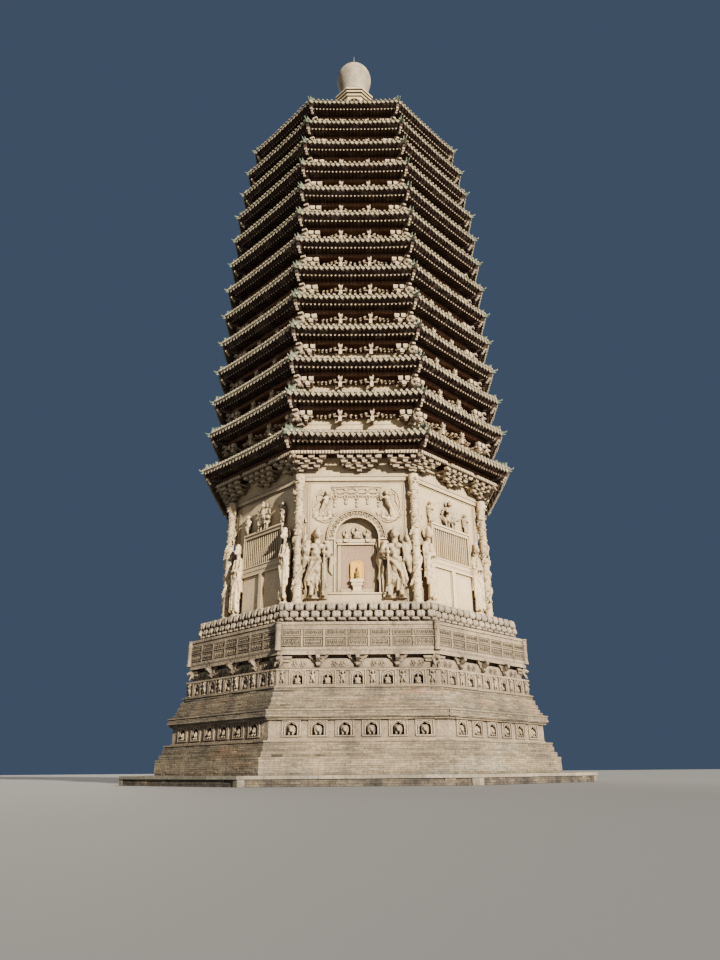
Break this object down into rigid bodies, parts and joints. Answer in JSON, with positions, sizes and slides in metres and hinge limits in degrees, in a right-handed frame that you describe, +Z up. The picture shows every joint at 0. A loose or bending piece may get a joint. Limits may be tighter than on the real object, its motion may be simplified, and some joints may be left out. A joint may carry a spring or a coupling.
{
  "type": "octagonal multi-eave brick pagoda, 1:2 scale model",
  "caption": "Octagonal close-eaved brick pagoda on a tiered carved base, with blind doors and windows, bracketed tile roofs and a round jewel on top; a 1:2 scale model.",
  "frame": {"origin": "middle of the octagonal foot, on the ground", "axes": "+Z up along the upright axis, front door towards -Y, +X to the right as seen from the front"},
  "size_m": [12.056, 12.056, 29.76],
  "materials": {
    "coping": "weathered dressed stone",
    "brick": "weathered grey-brown brick",
    "carving": "carved grey-brown brick",
    "plaster": "warm lime plaster over brick, matte",
    "brackets": "dark oiled timber and dusty brick",
    "tiles": "grey fired clay tile",
    "jewel": "pale lime plaster over brick",
    "gilding": "gilded",
    "iron": "dull iron rod"
  },
  "bodies": {
    "root": {"stylobate": "coping", "plinth": "brick", "lower_niche_tier": "carving", "middle_courses": "brick", "upper_niche_tier": "carving", "balcony_brackets": "carving", "balustrade": "carving", "lotus_throne": "carving", "body_core": "plaster", "wall_front": "plaster", "wall_front_right": "plaster", "wall_right": "plaster", "wall_back_right": "plaster", "wall_back": "plaster", "wall_back_left": "plaster", "wall_left": "plaster", "wall_front_left": "plaster", "altar_statue": "gilding", "bracket_course_01": "brackets", "roof_01": "tiles", "bracket_course_02": "brackets", "roof_02": "tiles", "bracket_course_03": "brackets", "roof_03": "tiles", "bracket_course_04": "brackets", "roof_04": "tiles", "bracket_course_05": "brackets", "roof_05": "tiles", "bracket_course_06": "brackets", "roof_06": "tiles", "bracket_course_07": "brackets", "roof_07": "tiles", "bracket_course_08": "brackets", "roof_08": "tiles", "bracket_course_09": "brackets", "roof_09": "tiles", "bracket_course_10": "brackets", "roof_10": "tiles", "bracket_course_11": "brackets", "roof_11": "tiles", "bracket_course_12": "brackets", "roof_12": "tiles", "bracket_course_13": "brackets", "roof_13": "tiles", "finial_seat": "jewel", "jewel": "jewel", "finial_rod": "iron"}
  },
  "joints": []
}
